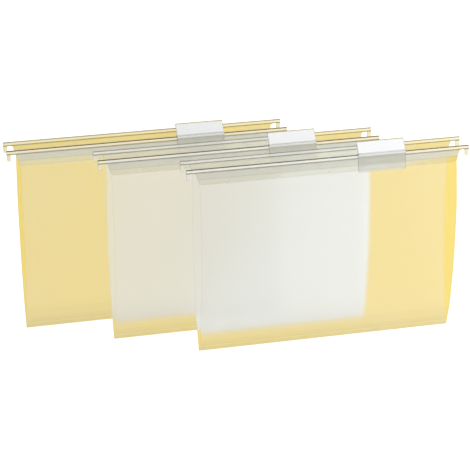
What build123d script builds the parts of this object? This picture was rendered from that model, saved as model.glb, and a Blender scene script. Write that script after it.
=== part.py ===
from build123d import *
import math
import os

# Set of three A4 hanging (suspension) files in frosted polypropylene film.
# Frame: millimetres, +Z up, +X to the right along the rails, +Y to the back.
# Origin: middle of the set's box, at the height of the bottom folds.
# Every file is built in its own frame (mid-plane y = 0, bottom fold at z = 0)
# and then placed: the three hang one behind the other, each further left.
# "Out" is the distance from a file's mid-plane; for the front half it runs to -Y.

# ---------------- rail ----------------
RAIL_L = 348.0                     # overall length
RAIL_GAP = 33.0                    # front rail to back rail, centre to centre
RAIL_OUT = RAIL_GAP / 2
RAIL_TOP = 241.3                   # above the bottom fold

BEAD_W = 4.0                       # round-topped bar along the top
BEAD_H = 5.0
BEAD_LOW = RAIL_TOP - BEAD_H
BEAD_ROUND = 0.8                   # lower edges
BEAD_END_ROUND = 0.7               # top edge of the end faces

BLADE_T = 0.8                      # flat blade that hangs in the hem
BLADE_LOW = RAIL_TOP - 12.6
BLADE_TAPER = 2.2                  # shorter at each end of its lower edge
BLADE_ROUND = 1.2
BLADE_LAP = 0.02                   # blade runs this far into the bead

RIB_PITCH = 62.0
RIB_W = 5.0                        # ribs join bead and blade between the slots
RIB_X = [RIB_PITCH * (i - 1.5) for i in range(4)]
END_RIB = 153.5                    # from here outwards bead and blade are one
SLOT_H = 0.9                       # slot under the bead that the film is folded through
SLOT_LOW = BEAD_LOW - SLOT_H

PEG_W = 5.0                        # hook peg at each rail end, along X
PEG_T = 2.8
PEG_TOP = RAIL_TOP - 2.6           # inside the bead
PEG_LOW = RAIL_TOP - 13.0
PEG_TAPER = 0.3                    # narrower at each side of the tip
PEG_TIP_ROUND = 1.9
PEG_RIM_ROUND = 0.45

NOTCH_R = 1.6                      # round between the blade's end and the bead
NOTCH_INSET = 0.15                 # round starts this far inside the blade's end
NOTCH_LAP_BLADE = 0.5
NOTCH_LAP_BEAD = 0.1

SEAT = (164.4, 168.8)              # flat seat under the bead, from the rail's middle
SEAT_DEPTH = 0.4

# ---------------- film ----------------
FILM_T = 0.4
FOLD_R = 0.4                       # roll of the bottom fold, its axis at z = FOLD_R
STRIP_H = 7.5                      # crease above the fold's axis
STRIP_OUT = 3.0                    # crease from the mid-plane
STRIP_START = 0.85                 # clear of the roll, for the strip without one
CREASE_GAP = 0.16                  # half the gap left at a crease

SCORE_Z = FOLD_R + 14.0            # second scored line
SCORE_R = 0.26
SCORE_OFFSET = 0.36                # groove's axis out from the film's centre line

PANEL_HALF = 158.5                 # half width of the panel below the hem
HEM_HALF = 162.6                   # half width of the hem at its top
HEM_LOW = RAIL_TOP - 19.5
HEM_ROUND = 3.0
HEM_MARGIN = 0.4                   # hem outline reaches this far below its edge
HEM_BEND = RAIL_TOP - 16.3         # height of the bend below the blade
HEM_LOW_OUT = 18.3                 # panel's centre line at the hem's lower edge

PLY_OFFSET = 0.7                   # hem plies either side of the blade's middle
PLY_TOP = SLOT_LOW - 0.25          # here the plies turn over the blade's top edge

RIB_GAP = 0.3                      # film stands clear of the ribs
FILM_NOTCH_LOW = SLOT_LOW - 0.45
FILM_NOTCH_H = 2.0
END_NOTCH_W = 20.0

WELD_X = [RIB_PITCH * (i - 2) for i in range(5)]   # spot welds that close the hem
WELD_Z = RAIL_TOP - 17.3
WELD_OUT = 17.02                   # inner end of a weld
WELD_R = 1.3
WELD_L = 1.25
WELD_DIRECTION = (0, -1, 0.34)

# Centre line of the panel, crease to blade: (out, z)
CREASE = (STRIP_OUT, FOLD_R + STRIP_H)
PANEL_LINE = [
    CREASE,
    (9.3, 26.3),
    (16.4, 61.3),
    (21.4, 101.3),
    (23.9, 141.3),
    (23.6, 181.3),
    (20.9, 206.3),
    (HEM_LOW_OUT, HEM_LOW),
    (16.9, HEM_BEND),
    (RAIL_OUT - PLY_OFFSET, BLADE_LOW - 0.4),
]
# Centre line of the hem's flap, from beside the blade down to its edge: (out, z)
FLAP_LINE = [
    (RAIL_OUT + PLY_OFFSET, BLADE_LOW + 0.7),
    (RAIL_OUT + PLY_OFFSET + 0.08, RAIL_TOP - 13.4),
    (17.45, HEM_BEND),
    (HEM_LOW_OUT + 0.52, HEM_LOW),
]

# ---------------- tab ----------------
TAB_W = 59.0
TAB_X = 64.4                       # tab's middle, from the file's middle
TAB_TILT = math.radians(40.0)      # leans back from upright
TAB_T = 0.6                        # wall of clip and skirt
TAB_BEVEL = 0.35                   # outer top edges of the clip
CLIP_GAP = 0.15                    # between clip and bead
CLIP_LAP = 0.1                     # overlap of neighbouring clip walls
CLIP_IN = RAIL_OUT - BEAD_W / 2 - CLIP_GAP     # inner faces of the clip's walls
CLIP_OUT = RAIL_OUT + BEAD_W / 2 + CLIP_GAP
SKIRT_LOW = RAIL_TOP - 21.5
SKIRT_MARGIN = 0.1                 # tab outline reaches this far below the skirt
SKIRT_ROUND = 1.5

# Centre line of the skirt, top to bottom: (out, z)
SKIRT_LINE = [
    (CLIP_OUT + TAB_T / 2, RAIL_TOP - 4.3),
    (CLIP_OUT + TAB_T / 2 + 0.12, RAIL_TOP - 9.0),
    (RAIL_OUT + 3.2, RAIL_TOP - 15.0),
    (RAIL_OUT + 3.65, SKIRT_LOW),
]

POCKET_START = (RAIL_OUT + 1.35, RAIL_TOP + 1.5)   # (out, z)
POCKET_L = 15.6                    # slant height of the label pocket
POCKET_LOW = -0.6                  # lower end of the plies, along the slant
POCKET_FLOOR = 0.15                # floor of the label slot, along the slant
POCKET_SLOT = 0.30                 # half of the slot for the label
POCKET_PLY = 0.5
POCKET_BEVEL = 0.25
POCKET_LAP = 0.05

LABEL_T = 0.3
LABEL_H = 14.0
LABEL_W = 57.6
LABEL_START = 0.55                 # lower edge, along the slant

# file name: (x of its middle, y of its mid-plane)
FILES = {
    "front_file": (96.73, -61.11),
    "middle_file": (3.3, -0.22),
    "back_file": (-96.73, 61.11),
}

ARC_DIP = 1 - math.cos(math.pi / 4)    # quarter arc's middle from its corner's tangents, / r


# ---------------- helpers: sections lie in the plane x = 0 ----------------
def point(out, z):
    return Vector(0, -out, z)


def direction(start, end):
    """Unit direction between two (out, z) points."""
    out, z = end[0] - start[0], end[1] - start[1]
    length = math.hypot(out, z)
    return out / length, z / length


def step(start, heading, distance):
    """The (out, z) point a distance from start along a heading."""
    return start[0] + heading[0] * distance, start[1] + heading[1] * distance


def polygon(points):
    return Face(Wire.make_polygon([point(*p) for p in points], close=True))


def curved_sheet(points, thickness, tangents=None, steps=28):
    """Section of a sheet along a smooth centre line."""
    centre_points = [point(*p) for p in points]
    if tangents:
        centre = Edge.make_spline(centre_points, tangents=[point(*t) for t in tangents])
    else:
        centre = Edge.make_spline(centre_points)
    left, right = [], []
    for i in range(steps + 1):
        middle = centre.position_at(i / steps)
        tangent = centre.tangent_at(i / steps)
        offset_by = Vector(0, -tangent.Z, tangent.Y) * (thickness / 2)
        left.append(middle + offset_by)
        right.append(middle - offset_by)
    left_side = Edge.make_spline(left)
    right_side = Edge.make_spline(right)
    first_end = Edge.make_line(left[0], right[0])
    last_end = Edge.make_line(left[-1], right[-1])
    return Face(Wire([left_side, last_end, right_side, first_end]))


def flat_sheet(start, end, thickness):
    """Section of a flat strip between two (out, z) points."""
    a, b = point(*start), point(*end)
    tangent = (b - a).normalized()
    side = Vector(0, -tangent.Z, tangent.Y) * (thickness / 2)
    return Face(Wire.make_polygon([a + side, b + side, b - side, a - side], close=True))


def along_x(face, half, x=0.0):
    """Extrudes a section from x - half to x + half."""
    solid = Solid.extrude(face, Vector(2 * half, 0, 0))
    return solid.moved(Location((x - half, 0, 0)))


def along_y(outline, low=-60.0, high=60.0):
    """A plate with an outline of (x, z) points, from y = low to y = high."""
    wire = Wire.make_polygon([Vector(x, low, z) for x, z in outline], close=True)
    return Solid.extrude(Face(wire), Vector(0, high - low, 0))


def rail_plate(outline, thickness):
    """A plate centred on the front rail's middle plane."""
    return along_y(outline, -RAIL_OUT - thickness / 2, -RAIL_OUT + thickness / 2)


def round_low_corners(plate, radius):
    middle = plate.center().Z
    low = [e for e in plate.edges().filter_by(Axis.Y) if e.center().Z < middle]
    return plate.fillet(radius, low)


def rail_block(x, z_low, width, depth, height):
    """A box centred on the front rail at x, standing on z_low."""
    block = Box(width, depth, height, align=(Align.CENTER, Align.CENTER, Align.MIN))
    return block.moved(Location((x, -RAIL_OUT, z_low)))


def largest(shape):
    """The single solid wanted from a boolean result."""
    return sorted(shape.solids(), key=lambda s: s.volume)[-1]


# ---------------- film ----------------
def fold_over_blade():
    """Half tube of film that joins the hem's plies over the blade's top edge."""
    plane = Plane(point(RAIL_OUT, PLY_TOP), x_dir=(0, 1, 0), z_dir=(1, 0, 0))
    outer = Edge.make_circle(PLY_OFFSET + FILM_T / 2, plane)
    inner = Edge.make_circle(PLY_OFFSET - FILM_T / 2, plane)
    tube = along_x(Face(Wire([outer]), [Wire([inner])]), HEM_HALF)
    return largest(tube & rail_block(0, PLY_TOP, 2 * HEM_HALF + 2, 4, 2))


def hem():
    """Inner ply, fold over the blade, outer ply and flap, cut to outline."""
    inner, outer = RAIL_OUT - PLY_OFFSET, RAIL_OUT + PLY_OFFSET
    up = along_x(flat_sheet((inner, BLADE_LOW - 0.41), (inner, PLY_TOP), FILM_T), HEM_HALF)
    fold = fold_over_blade()
    down = along_x(flat_sheet((outer, PLY_TOP), (outer, BLADE_LOW + 0.5), FILM_T), HEM_HALF)
    flap_ends = [(0, -1), direction(FLAP_LINE[2], FLAP_LINE[3])]
    flap = along_x(curved_sheet(FLAP_LINE, FILM_T, flap_ends), HEM_HALF)
    solid = largest(up.fuse(fold, down, flap))
    low = HEM_LOW - HEM_MARGIN
    outline = along_y([
        (-PANEL_HALF, low), (PANEL_HALF, low), (HEM_HALF, BEAD_LOW), (-HEM_HALF, BEAD_LOW),
    ])
    return largest(solid & round_low_corners(outline, HEM_ROUND))


def panel_body():
    """The sheet from just above the crease up to the blade, cut to outline."""
    heading = direction(CREASE, PANEL_LINE[1])
    line = [step(CREASE, heading, CREASE_GAP)] + PANEL_LINE[1:]
    body = along_x(curved_sheet(line, FILM_T, [heading, (0, 1)]), HEM_HALF)
    outline = along_y([
        (-PANEL_HALF, 0), (PANEL_HALF, 0), (PANEL_HALF, HEM_LOW),
        (HEM_HALF, BEAD_LOW), (-HEM_HALF, BEAD_LOW), (-PANEL_HALF, HEM_LOW),
    ])
    return largest(body & outline)


def score_groove():
    """Cutter for the second scored line, a shallow groove in the outer face."""
    low, high = PANEL_LINE[0], PANEL_LINE[1]
    share = (SCORE_Z - low[1]) / (high[1] - low[1])
    out = low[0] + (high[0] - low[0]) * share + SCORE_OFFSET
    start = point(out, SCORE_Z) - Vector(HEM_HALF, 0, 0)
    return Solid.make_cylinder(SCORE_R, 2 * HEM_HALF, Plane(start, z_dir=(1, 0, 0)))


def panel_half():
    """Front half of the sheet above the crease, with its hem folded over the blade."""
    film = largest(panel_body().fuse(hem()))
    film = largest(film - score_groove())
    # notches where the rail's ribs and solid ends pass through the hem's fold
    end_x = END_RIB - RIB_GAP + END_NOTCH_W / 2
    notches = [(x, RIB_W + 2 * RIB_GAP) for x in RIB_X]
    notches += [(-end_x, END_NOTCH_W), (end_x, END_NOTCH_W)]
    for x, width in notches:
        film = largest(film - rail_block(x, FILM_NOTCH_LOW, width, 6, FILM_NOTCH_H))
    # spot welds through flap and panel
    for x in WELD_X:
        plane = Plane(Vector(x, -WELD_OUT, WELD_Z), z_dir=WELD_DIRECTION)
        film = largest(film.fuse(Solid.make_cylinder(WELD_R, WELD_L, plane)))
    return film


def base_strip(with_roll):
    """Front strip of film between the bottom fold and the crease."""
    axis = (0.0, FOLD_R)
    heading = direction(axis, CREASE)
    start = step(axis, heading, 0.0 if with_roll else STRIP_START)
    end = step(CREASE, heading, -CREASE_GAP)
    strip = along_x(flat_sheet(start, end, FILM_T), PANEL_HALF)
    if with_roll:
        plane = Plane(Vector(-PANEL_HALF, 0, FOLD_R), z_dir=(1, 0, 0))
        strip = largest(strip.fuse(Solid.make_cylinder(FOLD_R, 2 * PANEL_HALF, plane)))
    return strip


# ---------------- rail ----------------
def bead():
    """Bar with flat underside, rounded lower edges and half-round top."""
    inner, outer = RAIL_OUT - BEAD_W / 2, RAIL_OUT + BEAD_W / 2
    r, dip = BEAD_ROUND, BEAD_ROUND * ARC_DIP
    low, side_low, side_top = BEAD_LOW, BEAD_LOW + r, RAIL_TOP - BEAD_W / 2
    outline = Wire([
        Edge.make_line(point(inner + r, low), point(outer - r, low)),
        Edge.make_three_point_arc(
            point(outer - r, low), point(outer - dip, low + dip), point(outer, side_low)),
        Edge.make_line(point(outer, side_low), point(outer, side_top)),
        Edge.make_three_point_arc(
            point(outer, side_top), point(RAIL_OUT, RAIL_TOP), point(inner, side_top)),
        Edge.make_line(point(inner, side_top), point(inner, side_low)),
        Edge.make_three_point_arc(
            point(inner, side_low), point(inner + dip, low + dip), point(inner + r, low)),
    ])
    bar = along_x(Face(outline), RAIL_L / 2)
    ends = [f for f in bar.faces() if abs(abs(f.center().X) - RAIL_L / 2) < 0.01]
    arches = [e for f in ends for e in f.edges() if e.center().Z > side_top - 0.01]
    return bar.fillet(BEAD_END_ROUND, arches)


def blade():
    """Blade with tapered ends, slotted between the ribs."""
    top, low_half = BEAD_LOW - BLADE_LAP, HEM_HALF - BLADE_TAPER
    plate = rail_plate([
        (-HEM_HALF, top), (HEM_HALF, top), (low_half, BLADE_LOW), (-low_half, BLADE_LOW),
    ], BLADE_T)
    plate = round_low_corners(plate, BLADE_ROUND)
    starts = [-END_RIB] + [x + RIB_W / 2 for x in RIB_X]
    ends = [x - RIB_W / 2 for x in RIB_X] + [END_RIB]
    for start, end in zip(starts, ends):
        plate = plate - rail_block((start + end) / 2, SLOT_LOW, end - start, 4, SLOT_H)
    return largest(plate)


def notch_corner(side):
    """Concave round between the blade's end and the bead; side is -1 left, 1 right."""
    def corner_point(x, z):
        return Vector(side * x, -RAIL_OUT - BLADE_T / 2, z)

    x_end, dip = HEM_HALF - NOTCH_INSET, NOTCH_R * ARC_DIP
    top_in = corner_point(x_end - NOTCH_LAP_BLADE, BEAD_LOW + NOTCH_LAP_BEAD)
    top_end = corner_point(x_end + NOTCH_R, BEAD_LOW + NOTCH_LAP_BEAD)
    arc_top = corner_point(x_end + NOTCH_R, BEAD_LOW)
    arc_low = corner_point(x_end, BEAD_LOW - NOTCH_R)
    low_in = corner_point(x_end - NOTCH_LAP_BLADE, BEAD_LOW - NOTCH_R)
    outline = Wire([
        Edge.make_line(top_in, top_end),
        Edge.make_line(top_end, arc_top),
        Edge.make_three_point_arc(arc_top, corner_point(x_end + dip, BEAD_LOW - dip), arc_low),
        Edge.make_line(arc_low, low_in),
        Edge.make_line(low_in, top_in),
    ])
    return Solid.extrude(Face(outline), Vector(0, BLADE_T, 0))


def hook_peg(side):
    """Flat peg under one end of the bead."""
    x, half = side * (RAIL_L - PEG_W) / 2, PEG_W / 2
    tip_half = half - PEG_TAPER
    peg = rail_plate([
        (x - tip_half, PEG_LOW), (x + tip_half, PEG_LOW), (x + half, PEG_TOP), (x - half, PEG_TOP),
    ], PEG_T)
    peg = round_low_corners(peg, PEG_TIP_ROUND)
    rim = [e for e in peg.edges()
           if e.center().Z < BEAD_LOW - 0.5
           and abs(e.center().Y + RAIL_OUT) > PEG_T / 2 - 0.05]
    # guards the rim fillet: if it can't be built, the peg keeps sharp rims
    try:
        peg = peg.fillet(PEG_RIM_ROUND, rim)
    except Exception:
        pass
    return peg


def rail():
    """Clear front rail: bead, slotted blade and a hook at each end."""
    parts = [blade()]
    parts += [notch_corner(side) for side in (-1, 1)]
    parts += [hook_peg(side) for side in (-1, 1)]
    bar = largest(bead().fuse(*parts))
    # flat seats where the cabinet's side rails carry the file
    for side in (-1, 1):
        x = side * (SEAT[0] + SEAT[1]) / 2
        bar = bar - rail_block(x, BEAD_LOW - 1, SEAT[1] - SEAT[0], 8, SEAT_DEPTH + 1)
    return largest(bar)


# ---------------- tab ----------------
def pocket_point(slant, across):
    """(out, z) of a point up the pocket's slant and across it, positive to the front."""
    up = (-math.sin(TAB_TILT), math.cos(TAB_TILT))
    front = (math.cos(TAB_TILT), math.sin(TAB_TILT))
    return step(step(POCKET_START, up, slant), front, across)


def clip_sections():
    """Spring clip round the bead: front wall, top, back wall and lip under the bead."""
    front_face, back_face = CLIP_OUT + TAB_T, CLIP_IN - TAB_T
    roof_low = RAIL_TOP + CLIP_GAP
    roof_top = roof_low + TAB_T
    lip_top = BEAD_LOW - CLIP_GAP
    lip_low = lip_top - TAB_T
    wall_low = RAIL_TOP - 4.6
    front = polygon([
        (CLIP_OUT, wall_low), (front_face, wall_low), (front_face, roof_top - TAB_BEVEL),
        (front_face - TAB_BEVEL, roof_top), (CLIP_OUT, roof_top)])
    top = polygon([
        (back_face + TAB_BEVEL, roof_low), (CLIP_OUT + CLIP_LAP, roof_low),
        (CLIP_OUT + CLIP_LAP, roof_top), (back_face + TAB_BEVEL, roof_top)])
    back = polygon([
        (back_face, lip_low), (CLIP_IN, lip_low), (CLIP_IN, roof_top),
        (back_face + TAB_BEVEL, roof_top), (back_face, roof_top - TAB_BEVEL)])
    lip = polygon([
        (CLIP_IN - CLIP_LAP, lip_low), (RAIL_OUT - 1.2, lip_low + 0.1),
        (RAIL_OUT - 1.35, lip_top), (CLIP_IN - CLIP_LAP, lip_top)])
    return [front, top, back, lip]


def pocket_sections():
    """Label pocket: front ply, back ply, cap, and the foot that joins it to the clip."""
    slot, face = POCKET_SLOT, POCKET_SLOT + POCKET_PLY
    lap = slot + POCKET_LAP
    low, top, bevel = POCKET_LOW, POCKET_L, POCKET_BEVEL
    cap_low = top - POCKET_PLY
    # points as (slant, across)
    plies_and_cap = [
        [(low, slot), (low, face), (top - bevel, face), (top, face - bevel), (top, slot)],
        [(low, -face), (low, -slot), (top, -slot), (top, bevel - face), (top - bevel, -face)],
        [(cap_low, -lap), (top, -lap), (top, lap), (cap_low, lap)],
    ]
    roof_middle = RAIL_TOP + CLIP_GAP + TAB_T / 2
    foot = polygon([
        pocket_point(low, -face), (RAIL_OUT - 0.9, roof_middle),
        (CLIP_OUT + TAB_T - 0.3, roof_middle), pocket_point(low, face),
        pocket_point(POCKET_FLOOR, lap), pocket_point(POCKET_FLOOR, -lap)])
    return [polygon([pocket_point(*p) for p in points]) for points in plies_and_cap] + [foot]


def tab_holder():
    """Clear clip-on tab: clip, skirt in front, label pocket leaning back."""
    skirt = curved_sheet(SKIRT_LINE, TAB_T, steps=12)
    faces = clip_sections() + [skirt] + pocket_sections()
    solids = [along_x(face, TAB_W / 2, TAB_X) for face in faces]
    holder = largest(solids[0].fuse(*solids[1:]))
    # rounded lower corners of the skirt
    left, right = TAB_X - TAB_W / 2, TAB_X + TAB_W / 2
    low, high = SKIRT_LOW - SKIRT_MARGIN, RAIL_TOP + 30
    outline = along_y([(left, low), (right, low), (right, high), (left, high)])
    return largest(holder & round_low_corners(outline, SKIRT_ROUND))


def label_insert():
    """Blank card in the tab's pocket."""
    low, high, half = LABEL_START, LABEL_START + LABEL_H, LABEL_T / 2
    corners = [(low, -half), (high, -half), (high, half), (low, half)]
    return along_x(polygon([pocket_point(*c) for c in corners]), LABEL_W / 2, TAB_X)


# ---------------- set ----------------
def to_back(shape):
    """The back half is the mirror image of the front half."""
    return shape.mirror(Plane.XZ)


def main():
    os.makedirs("parts", exist_ok=True)
    panel, bar = panel_half(), rail()
    pieces = {
        "front_panel": panel,
        "front_rail": bar,
        "front_base_strip": base_strip(False),
        "back_base_strip": to_back(base_strip(True)),
        "back_panel": to_back(panel),
        "back_rail": to_back(bar),
        "tab_holder": tab_holder(),
        "label_insert": label_insert(),
    }
    for file_name, (x, y) in FILES.items():
        for piece, shape in pieces.items():
            node = f"{file_name}_{piece}"
            placed = shape.moved(Location((x, y, 0)))
            placed.label = node
            export_step(placed, f"parts/{node}.step")


main()
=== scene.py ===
"""Three suspension files of frosted film, each with clear rails, a tab holder and a card label.

The rails run along X and Z is up. Each file is one sheet folded at the bottom: a front half
towards -Y and a back half towards +Y, each ending in a hem folded outwards over its rail's blade.
Sheet sections are (out, z) in mm, with out measured in Y from the middle of the file.
"""
import bpy
import bmesh
import math
import numpy as np
from mathutils import Vector, Matrix


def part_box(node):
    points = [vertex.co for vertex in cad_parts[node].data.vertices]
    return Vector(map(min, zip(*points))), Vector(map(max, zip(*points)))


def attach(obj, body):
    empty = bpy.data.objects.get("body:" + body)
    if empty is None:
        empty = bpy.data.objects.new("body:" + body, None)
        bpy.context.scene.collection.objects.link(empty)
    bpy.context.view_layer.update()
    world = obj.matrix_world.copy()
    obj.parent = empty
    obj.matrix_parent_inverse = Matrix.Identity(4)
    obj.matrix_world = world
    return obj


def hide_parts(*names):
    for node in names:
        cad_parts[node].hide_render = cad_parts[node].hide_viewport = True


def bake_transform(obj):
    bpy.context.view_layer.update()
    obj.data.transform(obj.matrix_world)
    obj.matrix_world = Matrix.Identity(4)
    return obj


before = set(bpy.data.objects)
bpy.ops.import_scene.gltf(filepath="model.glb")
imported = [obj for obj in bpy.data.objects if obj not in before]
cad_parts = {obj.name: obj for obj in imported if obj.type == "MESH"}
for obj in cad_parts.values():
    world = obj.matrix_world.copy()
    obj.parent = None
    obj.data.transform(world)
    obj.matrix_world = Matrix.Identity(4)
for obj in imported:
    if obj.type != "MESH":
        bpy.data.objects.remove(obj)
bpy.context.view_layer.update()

MM = 0.001
FILES = ("front_file", "middle_file", "back_file")

# Sizes of a file, mm
RAIL_TOP = 241.3
BLADE_DROP = 12.6            # from the rail top down to the lower edge of its blade
HEM_DROP = 19.5              # down to the hem's free edge
HEM_WIDE_DROP = 5.0          # down to where the hem has its full width
CURL_DROP = 6.15             # down to the centre of the curl over the blade
WELD_DROP = 17.3             # down to the spot welds
CURL_OUT, CURL_RADIUS = 16.5, 0.7
HEM_CORNER = 3.0             # radius of the hem's lower corners
PANEL_HALF_WIDTH, HEM_HALF_WIDTH = 158.5, 162.6
FILM_THICK = 0.4
FOLD_Z = 0.4
STRIP_HEIGHT, STRIP_OUT = 7.5, 3.0   # the straight strip beside the bottom fold
STRIP_TOP = FOLD_Z + STRIP_HEIGHT
SEAM_Z = 6.7                 # the fold piece meets the two halves here
SCORE_Z, SCORE_HALF = 14.4, 0.45     # the scored line across each half
WELD_X = (-124.0, -62.0, 0.0, 62.0, 124.0)

HEM_EDGE_Z = RAIL_TOP - HEM_DROP
BLADE_Z = RAIL_TOP - BLADE_DROP
CURL_Z = RAIL_TOP - CURL_DROP

# Section of one half from the top of the strip to the lower edge of the blade: (out, z)
PANEL = [
    (STRIP_OUT, STRIP_TOP), (9.3, 26.3), (16.4, 61.3), (21.4, 101.3), (23.9, 141.3),
    (23.6, 181.3), (20.9, 206.3), (18.3, HEM_EDGE_Z), (16.9, RAIL_TOP - 16.3),
    (CURL_OUT - CURL_RADIUS, BLADE_Z - 0.4)]
# Section of the folded flap, from beside the blade down to its free edge: (out, z)
FLAP = [
    (CURL_OUT + CURL_RADIUS, BLADE_Z + 0.7), (CURL_OUT + 0.78, RAIL_TOP - 13.4),
    (17.45, RAIL_TOP - 16.3), (18.82, HEM_EDGE_Z)]

SHEET_COLUMNS = 96
CUT_EDGE = 0.0055            # width of the column at each cut edge, as a share of the half width
CUT_TONE, CUT_DENSITY = 0.90, 1.7    # how the cut edges look against the rest


# ------------------------------------------------------------------ shader graphs
class Graph:
    """The node tree of a material or world."""

    def __init__(self, owner, output_kind):
        owner.use_nodes = True
        self.tree = owner.node_tree
        self.tree.nodes.clear()
        self.end = self.tree.nodes.new(output_kind)

    def feed(self, socket, value):
        """Link a socket, or set its value."""
        if isinstance(value, bpy.types.NodeSocket):
            self.tree.links.new(value, socket)
        elif socket.type == "RGBA":
            socket.default_value = (*value, 1)
        else:
            socket.default_value = value

    def node(self, kind, *in_order, **named):
        """A node with inputs given by place or by name, underscores standing for spaces."""
        made = self.tree.nodes.new("ShaderNode" + kind)
        for socket, value in zip(made.inputs, in_order):
            self.feed(socket, value)
        for key, value in named.items():
            self.feed(made.inputs[key.replace("_", " ")], value)
        return made

    def output(self, kind, *in_order, **named):
        return self.node(kind, *in_order, **named).outputs[0]

    def math(self, operation, *operands, clamp=False):
        made = self.node("Math", *operands)
        made.operation = operation
        made.use_clamp = clamp
        return made.outputs[0]

    def mix_colour(self, factor, first, second, blend="MIX"):
        made = self.node("Mix")
        made.data_type = "RGBA"
        made.blend_type = blend
        # the colour sockets of a mix node are inputs 6 and 7 and output 2
        for place, value in ((0, factor), (6, first), (7, second)):
            self.feed(made.inputs[place], value)
        return made.outputs[2]

    def mix_shader(self, factor, first, second):
        return self.output("MixShader", factor, first, second)

    def axis(self, vector, letter):
        return self.node("SeparateXYZ", vector).outputs[letter]

    def attribute(self, name, output):
        made = self.node("Attribute")
        made.attribute_name = name
        return made.outputs[output]

    def ramp(self, factor, stops):
        """A linear colour ramp from (position, colour) stops."""
        made = self.node("ValToRGB", factor)
        elements = made.color_ramp.elements
        while len(elements) < len(stops):
            elements.new(0.5)
        for element, (position, colour) in zip(elements, stops):
            element.position = position
            element.color = (*colour, 1)
        return made.outputs[0]

    def finish(self, surface):
        self.tree.links.new(surface, self.end.inputs["Surface"])


def new_material(name):
    material = bpy.data.materials.new(name)
    return material, Graph(material, "ShaderNodeOutputMaterial")


BLACK, WHITE = (0, 0, 0), (1, 1, 1)


def finish_see_through(graph, surface, passing):
    """Keep only the near face, and let lamp and bounced rays through, dimmed to passing."""
    backfacing = graph.node("NewGeometry").outputs["Backfacing"]
    clear = graph.output("BsdfTransparent", Color=WHITE)
    surface = graph.mix_shader(backfacing, surface, clear)
    rays = graph.node("LightPath").outputs
    for kind in ("Is Diffuse Ray", "Is Shadow Ray"):
        dimmed = graph.output("BsdfTransparent", Color=passing)
        surface = graph.mix_shader(rays[kind], surface, dimmed)
    graph.finish(surface)


# ------------------------------------------------------------------ materials
FILM_SCATTER = 0.275                 # share of the light one sheet scatters
FILM_SPREAD = 0.60                   # how much a sheet blurs what is behind it
FILM_IOR = 1.10
FILM_WHITE = (0.83, 0.85, 0.87)
FILM_CLOUD_TONE = 0.985              # how far the cloudiness darkens the film
FILM_CLOUD, FILM_GRAIN = 0.05, 0.10  # how far the two noises vary the density
FILM_SHEEN = 0.25
FILM_PASSING = (0.965, 0.965, 0.96)


def film_material(name):
    """Frosted film: scatters a share of the light and blurs the rest."""
    material, graph = new_material(name)
    place = graph.node("TexCoord").outputs["Object"]
    # the tone attribute carries the painted shade of the hem, the lower band and the fold, and
    # the darker cut edges; it also darkens what is seen through the film
    tone_here = graph.attribute("tone", "Color")
    density_here = graph.attribute("dens", "Fac")

    cloud = graph.output("TexNoise", Vector=place, Scale=16.0, Detail=3.0, Roughness=0.5)
    grain = graph.output("TexNoise", Vector=place, Scale=1400.0, Detail=2.0, Roughness=0.6)
    clouding, graining = (
        graph.math("MULTIPLY", graph.math("SUBTRACT", noise, 0.5), amount)
        for noise, amount in ((cloud, FILM_CLOUD), (grain, FILM_GRAIN)))
    density = graph.math("ADD", graph.math("ADD", clouding, graining), FILM_SCATTER)
    density = graph.math("MULTIPLY", density, density_here, clamp=True)

    clouded = tuple(channel * FILM_CLOUD_TONE for channel in FILM_WHITE)
    tone = graph.mix_colour(cloud, clouded, FILM_WHITE)
    tone = graph.mix_colour(1.0, tone, tone_here, "MULTIPLY")

    bump = graph.output("Bump", Strength=0.12, Distance=0.0002, Height=grain)
    diffuse = graph.output("BsdfDiffuse", Color=tone, Roughness=0.4, Normal=bump)
    translucent = graph.output("BsdfTranslucent", Color=tone)
    body = graph.mix_shader(0.5, diffuse, translucent)
    blur = graph.output("BsdfRefraction", Color=tone_here, Roughness=FILM_SPREAD, IOR=FILM_IOR)
    surface = graph.mix_shader(density, blur, body)

    gloss = graph.output("BsdfGlossy", Color=WHITE, Roughness=0.42, Normal=bump)
    fresnel = graph.node("LayerWeight", Blend=0.25).outputs["Fresnel"]
    surface = graph.mix_shader(graph.math("MULTIPLY", fresnel, FILM_SHEEN), surface, gloss)
    finish_see_through(graph, surface, FILM_PASSING)
    return material


TOP = RAIL_TOP * MM
PLASTIC_WHITE = (0.93, 0.94, 0.94)
PLASTIC_PASSING = (0.97, 0.97, 0.97)
RIPPLE_STRETCH = (0.12, 1, 1)        # draws the ripple out along the moulding
RIPPLE_TONE = 0.06
LINE_SHARPNESS = 3.0
LINE_DENSITY = 0.5                   # how much denser the dark parts are
END_FACING = 0.6                     # X part of the normal from which a face is an end face
LOW_END_SHARE, HIGH_END_SHARE = 0.35, 0.65   # darkening of all end faces, and extra up high
RIM_START, TIP_START = 0.488, 0.4725         # distance from the middle, as a share of the length


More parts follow.
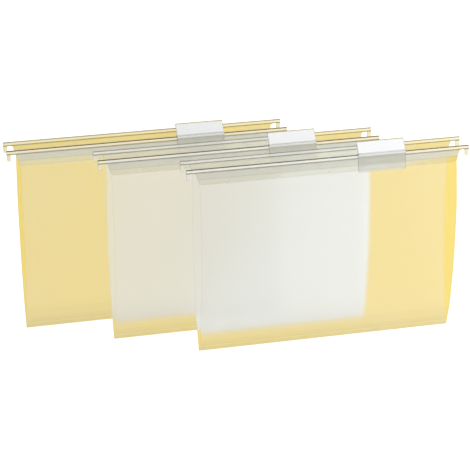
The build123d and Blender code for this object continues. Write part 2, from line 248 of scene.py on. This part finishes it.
def clear_plastic(name, shade_colour, edge=(0.5, 0.9), white=PLASTIC_WHITE, haze=0.0, zones=(),
                  lines=(), ends=0.0, ends_above=-1.0, rims=0.0, tips=0.0):
    """Clear glossy moulded plastic, with painted shade towards its shade colour where it is seen
    edge-on.

    edge: facing values between which that painted shade sets in
    zones: (height from the rail top, colour, haze) from the bottom up, metres; these replace
        the plain white and haze, and the settings below only work with them
    lines: (from, to, strength) of painted shade lines, metres from the rail top
    ends, ends_above: painted shade on the end faces, and the height in metres where it is full
    rims: painted shade on the last bit at both ends of the piece
    tips: haze of the solid parts at both ends of the piece
    """
    material, graph = new_material(name)
    coords = graph.node("TexCoord").outputs
    stretched = graph.output("Mapping", Vector=coords["Object"], Scale=RIPPLE_STRETCH)
    ripple = graph.output("TexNoise", Vector=stretched, Scale=90.0, Detail=3.0, Roughness=0.55)
    bump = graph.output("Bump", Strength=0.15, Distance=0.0005, Height=ripple)
    # painted shade where the surface is seen edge-on, standing in for the dark edges that
    # refraction gives
    facing = graph.node("LayerWeight", Blend=0.5, Normal=bump).outputs["Facing"]
    edge_from, edge_to = edge
    dark = graph.ramp(facing, [(0.0, BLACK), (edge_from, BLACK), (edge_to, WHITE), (1.0, WHITE)])
    base, density = white, haze

    if zones:
        height = graph.axis(coords["Object"], "Z")
        # painted shade lines at the given heights
        for low, high, strength in lines:
            low, high = TOP + low, TOP + high
            offset = graph.math("SUBTRACT", height, (low + high) / 2)
            share = graph.math("DIVIDE", graph.math("ABSOLUTE", offset), (high - low) / 2)
            inside = graph.math("SUBTRACT", 1.0, share, clamp=True)
            inside = graph.math("MULTIPLY", inside, LINE_SHARPNESS, clamp=True)
            dark = graph.math("MAXIMUM", dark, graph.math("MULTIPLY", inside, strength))

        # painted shade on the end faces, more of it up high
        sideways = graph.math("ABSOLUTE", graph.axis(coords["Normal"], "X"))
        end = graph.math("MULTIPLY", graph.math("GREATER_THAN", sideways, END_FACING), ends)
        above = graph.math("GREATER_THAN", height, ends_above)
        above = graph.math("MULTIPLY", above, HIGH_END_SHARE)
        above = graph.math("ADD", above, LOW_END_SHARE)
        dark = graph.math("MAXIMUM", dark, graph.math("MULTIPLY", end, above))

        bottom = TOP + zones[0][0]
        span = TOP + zones[-1][0] - bottom
        level = graph.math("SUBTRACT", height, bottom)
        level = graph.math("DIVIDE", level, span, clamp=True)
        places = [(TOP + zone[0] - bottom) / span for zone in zones]
        base = graph.ramp(level, [(at, zone[1]) for at, zone in zip(places, zones)])
        density = graph.ramp(level, [(at, (zone[2],) * 3) for at, zone in zip(places, zones)])

        along = graph.axis(coords["Generated"], "X")
        from_middle = graph.math("ABSOLUTE", graph.math("SUBTRACT", along, 0.5))
        # painted shade on the last bit at both ends of the piece
        if rims:
            rim = graph.math("GREATER_THAN", from_middle, RIM_START)
            dark = graph.math("MAXIMUM", dark, graph.math("MULTIPLY", rim, rims))
        if tips:
            tip = graph.math("GREATER_THAN", from_middle, TIP_START)
            density = graph.math("MAXIMUM", density, graph.math("MULTIPLY", tip, tips))

    colour = graph.mix_colour(graph.math("MULTIPLY", ripple, RIPPLE_TONE), base, white)
    colour = graph.mix_colour(dark, colour, shade_colour)
    diffuse = graph.output("BsdfDiffuse", Color=colour)
    translucent = graph.output("BsdfTranslucent", Color=colour)
    body = graph.mix_shader(0.5, diffuse, translucent)
    clear = graph.output("BsdfTransparent", Color=WHITE)
    added = graph.math("MULTIPLY", dark, LINE_DENSITY)
    density = graph.math("ADD", added, density, clamp=True)
    surface = graph.mix_shader(density, clear, body)
    gloss = graph.output("BsdfGlossy", Color=WHITE, Roughness=0.09, Normal=bump)
    fresnel = graph.output("Fresnel", IOR=1.35, Normal=bump)
    surface = graph.mix_shader(fresnel, surface, gloss)
    finish_see_through(graph, surface, PLASTIC_PASSING)
    return material


def rail_material(name, blade_haze, top_shade_line):
    # The bright band along the middle of the bead is a painted highlight; the dark lines along
    # the bead's top, under the bead and at the blade's lower edge, and the darkened end faces,
    # are painted shade.
    blade, painted_highlight, cap = (0.86, 0.87, 0.84), (1.0, 0.99, 0.93), (0.93, 0.93, 0.88)
    return clear_plastic(
        name, shade_colour=(0.13, 0.125, 0.085), ends=0.45, ends_above=TOP - 0.0052, tips=0.62,
        zones=((-0.0130, blade, blade_haze), (-0.0058, blade, blade_haze),
               (-0.0052, (0.86, 0.86, 0.80), 0.44), (-0.0033, (0.88, 0.88, 0.82), 0.44),
               (-0.0025, painted_highlight, 0.62), (-0.0012, painted_highlight, 0.62),
               (-0.0007, cap, 0.46), (0.0, cap, 0.46)),
        lines=((-0.0009, 0.0004, top_shade_line), (-0.0050, -0.0033, 0.80), (-0.0129, -0.0122, 0.4)))


# The bright strip over the bead is a painted highlight, and the blue-grey band just above it is
# painted shade in the gap under the card.
# (height from the rail top in metres, colour, haze)
TAB_ZONES = (
    (-0.0220, (0.66, 0.67, 0.66), 0.55), (-0.0134, (0.68, 0.69, 0.67), 0.62),
    (-0.0130, (0.56, 0.56, 0.50), 0.74), (-0.0060, (0.60, 0.60, 0.52), 0.72),
    (-0.0018, (0.50, 0.51, 0.44), 0.78), (-0.0010, (0.95, 0.96, 0.93), 0.85),
    (0.0003, (0.95, 0.96, 0.95), 0.85), (0.0010, (0.55, 0.58, 0.60), 0.80),
    (0.0018, (0.70, 0.72, 0.74), 0.38), (0.0026, (0.98, 0.99, 1.0), 0.25),
    (0.0128, (0.98, 0.99, 1.0), 0.25), (0.0131, (0.36, 0.34, 0.24), 0.70),
    (0.0140, (0.36, 0.34, 0.24), 0.70))


def card_material(name):
    """White card with a fine fibre and a slow unevenness."""
    material, graph = new_material(name)
    place = graph.node("TexCoord").outputs["Object"]
    fibre = graph.output("TexNoise", Vector=place, Scale=900.0, Detail=4.0, Roughness=0.7)
    slow = graph.output("TexNoise", Vector=place, Scale=40.0, Detail=2.0)
    colour = graph.mix_colour(slow, (0.89, 0.90, 0.915), (0.925, 0.93, 0.94))
    fibre_share = graph.math("MULTIPLY", fibre, 0.05)
    colour = graph.mix_colour(fibre_share, colour, (0.84, 0.85, 0.88))
    bump = graph.output("Bump", Strength=0.25, Distance=0.0001, Height=fibre)
    graph.finish(graph.output("BsdfPrincipled", Base_Color=colour, Roughness=0.62,
                              Specular_IOR_Level=0.3, Normal=bump))
    return material


FILM = film_material("frosted_film")
FRONT_RAIL = rail_material("clear_rail_plastic", blade_haze=0.40, top_shade_line=1.0)
BACK_RAIL = rail_material("clear_rail_plastic_back", blade_haze=0.12, top_shade_line=0.75)
# the tab's darkening where it is seen edge-on, on its end faces and at its rims is painted shade
TAB = clear_plastic("clear_tab_plastic", shade_colour=(0.10, 0.12, 0.09), edge=(0.75, 0.97),
                    ends=0.85, rims=0.40, zones=TAB_ZONES)
# the welds' dark ring where their domes are seen edge-on is painted shade
WELD = clear_plastic("welded_film", shade_colour=(0.45, 0.44, 0.36), edge=(0.25, 0.7),
                     white=(0.95, 0.96, 0.94), haze=0.35)
CARD = card_material("label_card")


# ------------------------------------------------------------------ section of the sheet
def direction(start, end):
    step = np.array(end, float) - np.array(start, float)
    return step / np.linalg.norm(step)


def spline(points, start_slope, end_slope, steps):
    """Clamped cubic spline through points, as steps + 1 points evenly spaced by arc."""
    points = np.array(points, float)
    chord = np.linalg.norm(np.diff(points, axis=0), axis=1)
    knots = np.concatenate([[0], np.cumsum(chord)])
    count = len(points)
    system = np.zeros((count, count))
    target = np.zeros((count, 2))
    system[0, 0] = system[-1, -1] = 1
    target[0], target[-1] = start_slope, end_slope
    for i in range(1, count - 1):
        before, after = chord[i - 1], chord[i]
        system[i, i - 1:i + 2] = after, 2 * (before + after), before
        target[i] = 3 * (after * (points[i] - points[i - 1]) / before
                         + before * (points[i + 1] - points[i]) / after)
    slopes = np.linalg.solve(system, target)

    fine = np.linspace(0, knots[-1], 2000)
    k = np.clip(np.searchsorted(knots, fine, side="right") - 1, 0, count - 2)
    w = ((fine - knots[k]) / chord[k])[:, None]
    length = chord[k][:, None]
    curve = ((2 * w**3 - 3 * w**2 + 1) * points[k] + (w**3 - 2 * w**2 + w) * length * slopes[k]
             + (-2 * w**3 + 3 * w**2) * points[k + 1] + (w**3 - w**2) * length * slopes[k + 1])
    steps_along = np.linalg.norm(np.diff(curve, axis=0), axis=1)
    arc = np.concatenate([[0], np.cumsum(steps_along)])
    even = np.linspace(0, arc[-1], steps + 1)
    return np.stack([np.interp(even, arc, curve[:, 0]), np.interp(even, arc, curve[:, 1])], 1)


def half_section():
    """Centre line of one half, from the seam up to the hem's free edge, and each row's part."""
    strip_top = np.array(PANEL[0])
    strip = direction((0, FOLD_Z), strip_top)
    seam_distance = (strip_top[1] - SEAM_Z) / strip[1]
    low = [strip_top - strip * s for s in np.linspace(seam_distance, 0.35, 5)]
    main = spline(PANEL, direction(PANEL[0], PANEL[1]), (0, 1), 74)
    inner = [(CURL_OUT - CURL_RADIUS, z) for z in np.linspace(main[-1][1], CURL_Z, 6)[1:]]
    curl = [(CURL_OUT - CURL_RADIUS * math.cos(a), CURL_Z + CURL_RADIUS * math.sin(a))
            for a in np.linspace(0, math.pi, 9)[1:-1]]
    outer = [(CURL_OUT + CURL_RADIUS, z) for z in np.linspace(CURL_Z, FLAP[0][1], 6)]
    flap = spline(FLAP, (0, -1), direction(FLAP[2], FLAP[3]), 14)[1:]
    parts = {"low": low, "main": main, "inner": inner, "curl": curl, "outer": outer, "flap": flap}
    path = [tuple(point) for rows in parts.values() for point in rows]
    kinds = [kind for kind, rows in parts.items() for _ in rows]
    add_score_rows(path, kinds)
    return np.array(path), kinds


def add_score_rows(path, kinds):
    """Insert three rows round the scored line."""
    for z in (SCORE_Z - SCORE_HALF, SCORE_Z, SCORE_Z + SCORE_HALF):
        for i in range(len(path) - 1):
            (out, below), (next_out, above) = path[i], path[i + 1]
            if kinds[i] == kinds[i + 1] == "main" and below < z < above:
                share = (z - below) / (above - below)
                path.insert(i + 1, (out + share * (next_out - out), z))
                kinds.insert(i + 1, "main")
                break


def fold_section():
    """Centre line of the bottom fold, from the seam on the front down and up to the back."""
    fold = np.array((0.0, FOLD_Z))
    rise = direction(fold, PANEL[0])
    seam = fold + rise * ((SEAM_Z - FOLD_Z) / rise[1])
    arc_start = 0.9          # distance from the crease at which the small arc begins
    front = [fold + rise * s for s in np.linspace(np.linalg.norm(seam - fold), arc_start, 8)]
    back = [np.array((-out, z)) for out, z in reversed(front)]
    tip = np.array((0.0, FOLD_Z + 0.02))
    arc = [(1 - t) ** 2 * front[-1] + 2 * t * (1 - t) * tip + t * t * back[0]
           for t in np.linspace(0, 1, 7)[1:-1]]
    return np.array(front + arc + back)


def half_width(z, kind):
    """Half the sheet's width: it widens up the hem, and the flap's lower corners are round."""
    rise = z - HEM_EDGE_Z
    share = min(max(rise / (HEM_DROP - HEM_WIDE_DROP), 0), 1)
    width = PANEL_HALF_WIDTH + (HEM_HALF_WIDTH - PANEL_HALF_WIDTH) * share
    if kind == "flap" and rise < HEM_CORNER:
        width -= HEM_CORNER - math.sqrt(max(HEM_CORNER**2 - (HEM_CORNER - rise) ** 2, 0))
    return width


# Brightness and density of the hem, a brightness below 1 being painted shade: (front half), (back
# half)
HEM_SHADE_AND_DENSITY = {
    "over blade": ((0.905, 1.95), (0.97, 0.35)),
    "flap": ((0.865, 0.15), (0.95, 0.35)),
    "below blade": ((0.70, 1.5), (0.85, 0.8)),
    "free edge": ((0.82, 0.9), (0.88, 0.8)),
    "inner": ((0.97, 1.0), (0.97, 1.0)),
    "curl": ((0.80, 1.3), (0.95, 0.6)),
}
# Green and blue against red, by part of the section
TINTS = {"outer": (0.985, 0.895), "flap": (0.995, 0.93)}
PLAIN_TINT = (0.995, 0.985)


def row_look(kind, z, back):
    """Brightness and density of one row, a brightness below 1 being painted shade; back is 0 for
    the front half and 1 for the back.
    """
    if kind == "low" or (kind == "main" and z >= 30):
        return 1.0, 1.0
    # lower rows of the panel: painted shade in the scored groove, where the film is also denser,
    # and painted shade up to 30 mm, darkest below 13.5 mm near the fold
    if kind == "main":
        if abs(z - SCORE_Z) < 0.1:
            return 0.86, 1.15
        return (0.925 if z < 13.5 else 0.975), 1.0
    if kind == "outer" or (kind == "flap" and z > BLADE_Z - 0.2):
        kind = "over blade"
    elif kind == "flap" and z < HEM_EDGE_Z + 0.6:
        kind = "free edge"
    elif kind == "flap" and z > BLADE_Z - 0.9:
        kind = "below blade"
    return HEM_SHADE_AND_DENSITY[kind][back]


def sheet_looks(path, kinds, back):
    """Colour, with painted shade, and density of every row of one half."""
    tones, densities = [], []
    for (_, z), kind in zip(path, kinds):
        tone, density = row_look(kind, z, back)
        green, blue = TINTS.get(kind, PLAIN_TINT)
        tones.append((tone, tone * green, tone * blue))
        densities.append(density)
    return tones, densities


# ------------------------------------------------------------------ meshes
def add_object(name, mesh, material):
    made = bpy.data.objects.new(name, mesh)
    bpy.context.scene.collection.objects.link(made)
    mesh.materials.append(material)
    return made


def no_wave(x, z):
    return 0


def make_waves(seed):
    """Slight unevenness of a half: four products of sines, fading out at top and bottom."""
    low, high, depth = 16, 212, 0.16     # heights between which it waves, and its scale, mm
    random = np.random.RandomState(seed)
    # (amplitude, length along X, phase, length along Z, phase)
    ranges = ((0.6, 1.0), (70, 150), (0, 6.28), (60, 120), (0, 6.28))
    terms = [[random.uniform(*limits) for limits in ranges] for _ in range(4)]

    def wave(x, z):
        share = min(max((z - low) / (high - low), 0), 1)
        envelope = max(0.0, math.sin(math.pi * share)) ** 1.2
        total = np.zeros_like(x)
        for amplitude, length_x, phase_x, length_z, phase_z in terms:
            total = total + (amplitude * np.sin(2 * math.pi * x / length_x + phase_x)
                             * math.sin(2 * math.pi * z / length_z + phase_z))
        return total * depth * envelope
    return wave


def quads(*corners):
    return np.stack([corner.ravel() for corner in corners], 1)


def sheet(name, path, widths, centre, out_sign, tones, densities, wave=no_wave):
    """A closed thin sheet swept along X; out_sign is -1 where out points to the front."""
    slope = np.gradient(path, axis=0)
    slope /= np.linalg.norm(slope, axis=1)[:, None]
    normal = np.stack([-slope[:, 1], slope[:, 0]], 1)
    # one more column beside each cut edge, where the film looks a little denser
    columns = np.linspace(-1, 1, SHEET_COLUMNS + 1)
    columns = np.sort(np.concatenate([columns, [-1 + CUT_EDGE, 1 - CUT_EDGE]]))
    shape = (2, len(path), len(columns))

    verts = np.zeros((*shape, 3))
    for face, side in enumerate((0.5, -0.5)):
        for i, (out, z) in enumerate(path):
            x = columns * widths[i]
            y = out + normal[i, 0] * FILM_THICK * side + wave(x, z)
            verts[face, i, :, 0] = x + centre[0]
            verts[face, i, :, 1] = centre[1] + out_sign * y
            verts[face, i, :, 2] = z + normal[i, 1] * FILM_THICK * side

    a, b = np.arange(verts.size // 3).reshape(shape)
    faces = np.concatenate([
        quads(a[:-1, :-1], a[:-1, 1:], a[1:, 1:], a[1:, :-1]),
        quads(b[:-1, :-1], b[1:, :-1], b[1:, 1:], b[:-1, 1:]),
        quads(a[0, :-1], b[0, :-1], b[0, 1:], a[0, 1:]),
        quads(a[-1, :-1], a[-1, 1:], b[-1, 1:], b[-1, :-1]),
        quads(a[:-1, 0], a[1:, 0], b[1:, 0], b[:-1, 0]),
        quads(a[:-1, -1], b[:-1, -1], b[1:, -1], a[1:, -1])])
    mesh = bpy.data.meshes.new(name)
    mesh.from_pydata((verts.reshape(-1, 3) * MM).tolist(), [], faces.tolist())
    mesh.update()
    builder = bmesh.new()
    builder.from_mesh(mesh)
    bmesh.ops.recalc_face_normals(builder, faces=builder.faces)
    builder.to_mesh(mesh)
    builder.free()

    column_tone, column_density = np.ones((2, len(columns)))
    column_tone[[0, -1]] = CUT_TONE
    column_density[[0, -1]] = CUT_DENSITY
    colour = np.ones((*shape, 4))
    colour[..., :3] = np.array(tones)[:, None, :] * column_tone[:, None]
    density = np.ones(shape) * np.array(densities)[:, None] * column_density
    for key, kind, field, values in (("tone", "FLOAT_COLOR", "color", colour),
                                     ("dens", "FLOAT", "value", density)):
        attribute = mesh.attributes.new(key, kind, "POINT")
        attribute.data.foreach_set(field, values.ravel().astype(np.float32))

    for polygon in mesh.polygons:
        polygon.use_smooth = True
    # the cut edges stay crisp
    mesh.set_sharp_from_angle(angle=math.radians(50))
    return add_object(name, mesh, FILM)


def weld_dots(name, centre, out_sign, path, kinds):
    """Five small round spot welds, as low domes on the outer side of the hem's flap."""
    rings = ((1.35, -0.12), (1.28, 0.10), (0.95, 0.22), (0.45, 0.16))    # (radius, height)
    segments = 20
    flap = np.array([point for point, kind in zip(path, kinds) if kind == "flap"])
    weld_z = RAIL_TOP - WELD_DROP
    weld_out = np.interp(-weld_z, -flap[:, 1], flap[:, 0]) + FILM_THICK / 2
    slope = direction(flap[-1], flap[len(flap) // 2])
    normal = (slope[1], -slope[0])
    angles = np.linspace(0, 2 * math.pi, segments, endpoint=False)

    builder = bmesh.new()
    for weld_x in WELD_X:
        loops = []
        for radius, height in rings:
            loop = []
            for angle in angles:
                up = radius * math.sin(angle)
                x = centre[0] + weld_x + radius * math.cos(angle)
                y = centre[1] + out_sign * (weld_out + slope[0] * up + normal[0] * height)
                z = weld_z + slope[1] * up + normal[1] * height
                loop.append(builder.verts.new((x * MM, y * MM, z * MM)))
            loops.append(loop)
        for lower, upper in zip(loops, loops[1:]):
            for i in range(segments):
                j = (i + 1) % segments
                builder.faces.new((lower[i], lower[j], upper[j], upper[i]))
        builder.faces.new(loops[-1])
        builder.faces.new(list(reversed(loops[0])))
    bmesh.ops.recalc_face_normals(builder, faces=builder.faces)
    mesh = bpy.data.meshes.new(name)
    builder.to_mesh(mesh)
    builder.free()
    for polygon in mesh.polygons:
        polygon.use_smooth = len(polygon.vertices) == 4
    return add_object(name, mesh, WELD)


# ------------------------------------------------------------------ the files
# painted shade on the bottom fold
FOLD_SHADE = (0.925, 0.92, 0.91)


def file_centre(name):
    """X of the front rail's middle, and Y halfway between the two rails, mm."""
    low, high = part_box(name + "_front_rail")
    back_low, back_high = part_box(name + "_back_rail")
    x = (low.x + high.x) / 2 / MM
    y = ((low.y + high.y) / 2 + (back_low.y + back_high.y) / 2) / 2 / MM
    return x, y


def add_half(name, side, back, seed, centre):
    """The front (back = 0) or back (back = 1) half of a file, with its welds."""
    sign = 1 if back else -1
    path, kinds = half_section()
    widths = [half_width(z, kind) for (_, z), kind in zip(path, kinds)]
    tones, densities = sheet_looks(path, kinds, back)
    film = sheet(f"{name}_{side}_film", path, widths, centre, sign, tones, densities,
                 wave=make_waves(seed))
    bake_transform(film)
    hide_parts(f"{name}_{side}_panel")
    welds = weld_dots(f"{name}_{side}_welds", centre, sign, path, kinds)
    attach(welds, f"{name}_{side}_half")


def add_fold(name, centre):
    path = fold_section()
    rows = len(path)
    fold = sheet(f"{name}_fold_film", path, [PANEL_HALF_WIDTH] * rows, centre, -1,
                 [FOLD_SHADE] * rows, [1.0] * rows)
    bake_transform(fold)
    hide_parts(f"{name}_front_base_strip", f"{name}_back_base_strip")


for index, file_name in enumerate(FILES):
    middle = file_centre(file_name)
    file_seed = 11 + 7 * index
    add_half(file_name, "front", 0, file_seed, middle)
    add_half(file_name, "back", 1, file_seed + 3, middle)
    add_fold(file_name, middle)
    for piece, plastic in (("front_rail", FRONT_RAIL), ("back_rail", BACK_RAIL),
                           ("tab_holder", TAB), ("label_insert", CARD)):
        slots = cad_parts[f"{file_name}_{piece}"].data.materials
        slots.clear()
        slots.append(plastic)


# ------------------------------------------------------------------ floor and world
# Colours of the surroundings as seen through the plastic
YELLOW = (1.05, 0.76, 0.0)           # through one file
PALE = (0.96, 0.885, 0.60)           # through several files
PALE_LEFT = (0.95, 0.82, 0.34)       # the same, far left
PALE_RIGHT = (0.98, 0.90, 0.50)      # the same, far right
WHITE_FOUR = (1.07, 1.13, 1.09)      # nearly white, through up to four surfaces
WHITE_MORE = (1.15, 1.27, 1.26)      # and through more
# painted shade: the yellow seen through one file darkens towards the left
LEFT_SHADE_SHARE = 0.90
VIEW_RIGHT = (0.972, -0.234, 0.0)    # horizontal direction to the right of the view


def seen_through(graph, rays):
    """1 where the eye looks through plastic, with no scattering on the way."""
    depth = graph.math("ADD", rays["Transmission Depth"], rays["Transparent Depth"])
    through = graph.math("GREATER_THAN", depth, 0.5)
    no_diffuse = graph.math("LESS_THAN", rays["Diffuse Depth"], 0.5)
    no_glossy = graph.math("LESS_THAN", rays["Glossy Depth"], 0.5)
    not_bounced = graph.math("SUBTRACT", 1.0, rays["Is Diffuse Ray"])
    return graph.math("MULTIPLY", graph.math("MULTIPLY", through, no_diffuse),
                      graph.math("MULTIPLY", no_glossy, not_bounced))


def deeper_than(graph, rays, depth):
    return graph.math("GREATER_THAN", rays["Transmission Depth"], depth)


def deep_white(graph, rays):
    return graph.mix_colour(deeper_than(graph, rays, 4.5), WHITE_FOUR, WHITE_MORE)


def colour_by_depth(graph, rays, yellow, white, far):
    """Yellow through few surfaces, white through many; far sets the mix at three."""
    between = graph.mix_colour(far, white, yellow)
    several = graph.mix_colour(deeper_than(graph, rays, 3.5), between, white)
    return graph.mix_colour(deeper_than(graph, rays, 2.5), yellow, several)


def floor_colour(graph, rays):
    """The colour through the plastic, varying from left to right across the floor, with painted
    shade on the yellow towards the left.
    """
    position = graph.node("NewGeometry").outputs["Position"]
    dot = graph.node("VectorMath", position, VIEW_RIGHT)
    dot.operation = "DOT_PRODUCT"
    across = dot.outputs["Value"]

    def fade(operation, offset, width):
        shifted = graph.math(operation, across, offset)
        return graph.math("DIVIDE", shifted, width, clamp=True)

    side = fade("ADD", 0.085, 0.025)
    warm = fade("ADD", 0.27, 0.14)
    far = fade("SUBTRACT", 0.190, 0.030)
    # where the painted shade on the yellow fades out, going right
    left = fade("ADD", 0.32, 0.27)
    pale = graph.mix_colour(warm, PALE_LEFT, PALE)
    right = graph.mix_colour(far, deep_white(graph, rays), PALE_RIGHT)
    white = graph.mix_colour(side, pale, right)
    shaded_left_yellow = tuple(LEFT_SHADE_SHARE * channel for channel in YELLOW)
    yellow = graph.mix_colour(left, shaded_left_yellow, YELLOW)
    return colour_by_depth(graph, rays, yellow, white, far)


def floor_material(name):
    material, graph = new_material(name)
    rays = graph.node("LightPath").outputs
    diffuse = graph.output("BsdfDiffuse", Color=(0.86, 0.86, 0.86))
    # glows a little for every ray, and more for the camera's
    glow = graph.math("MULTIPLY", rays["Is Camera Ray"], 0.30)
    glow = graph.output("Emission", Color=WHITE, Strength=graph.math("ADD", glow, 0.16))
    plain = graph.output("AddShader", diffuse, glow)
    tinted = graph.output("Emission", Color=floor_colour(graph, rays), Strength=1.0)
    graph.finish(graph.mix_shader(seen_through(graph, rays), plain, tinted))
    return material


def add_floor():
    """A large disc just below the files."""
    height, radius, segments = -0.035, 14.0, 64
    builder = bmesh.new()
    turns = [2 * math.pi * i / segments for i in range(segments)]
    builder.faces.new([builder.verts.new((radius * math.cos(a), radius * math.sin(a), height))
                       for a in turns])
    mesh = bpy.data.meshes.new("floor")
    builder.to_mesh(mesh)
    builder.free()
    add_object("floor", mesh, floor_material("floor_pale"))


def add_world():
    world = bpy.data.worlds.new("world")
    bpy.context.scene.world = world
    graph = Graph(world, "ShaderNodeOutputWorld")
    rays = graph.node("LightPath").outputs
    lighting = graph.output("Background", Color=WHITE, Strength=0.64)
    backdrop = graph.output("Background", Color=WHITE, Strength=1.05)
    colour = colour_by_depth(graph, rays, YELLOW, deep_white(graph, rays), far=0.5)
    tinted = graph.output("Background", Color=colour, Strength=1.0)
    plain = graph.mix_shader(rays["Is Camera Ray"], lighting, backdrop)
    graph.finish(graph.mix_shader(seen_through(graph, rays), plain, tinted))


# ------------------------------------------------------------------ lights, camera, render
def add_area_light(name, location, target, size, power):
    light = bpy.data.lights.new(name, "AREA")
    light.shape = "RECTANGLE"
    light.size, light.size_y = size
    light.energy = power
    lamp = bpy.data.objects.new(name, light)
    lamp.location = location
    aim = Vector(target) - Vector(location)
    lamp.rotation_mode = "QUATERNION"
    lamp.rotation_quaternion = aim.to_track_quat("-Z", "Y")
    bpy.context.scene.collection.objects.link(lamp)


def add_camera():
    yaw, pitch, roll = 0.23619, 0.37744, -0.0095     # right of +Y, downwards, about the view
    data = bpy.data.cameras.new("camera")
    camera = bpy.data.objects.new("camera", data)
    bpy.context.scene.collection.objects.link(camera)
    forward = Vector((math.sin(yaw) * math.cos(pitch), math.cos(yaw) * math.cos(pitch),
                      -math.sin(pitch)))
    level_right = Vector((math.cos(yaw), -math.sin(yaw), 0))
    level_up = level_right.cross(forward)
    right = level_right * math.cos(roll) + level_up * math.sin(roll)
    up = level_up * math.cos(roll) - level_right * math.sin(roll)
    pose = Matrix((right, up, -forward)).transposed().to_4x4()
    pose.translation = Vector((-535.46, -2222.31, 1028.84)) * MM
    camera.matrix_world = pose
    data.sensor_width = 36.0
    data.lens = 153.191489
    data.clip_start, data.clip_end = 0.05, 60
    bpy.context.scene.camera = camera


def set_render():
    scene = bpy.context.scene
    scene.view_settings.view_transform = "Standard"
    scene.view_settings.look = "None"
    cycles = scene.cycles
    # enough bounces to see through all the sheets
    cycles.max_bounces = 24
    cycles.diffuse_bounces = 2
    cycles.glossy_bounces = 2
    cycles.transmission_bounces = 20
    cycles.transparent_max_bounces = 96
    cycles.caustics_reflective = False
    cycles.caustics_refractive = False
    cycles.sample_clamp_indirect = 6.0


add_floor()
add_world()
add_area_light("key", location=(0.95, -0.85, 0.95), target=(0.14, 0, 0.14), size=(0.8, 0.8),
               power=10.0)
add_area_light("back", location=(0.9, 1.3, 0.9), target=(0.08, 0, 0.12), size=(1.2, 1.0),
               power=6.0)
add_camera()
set_render()
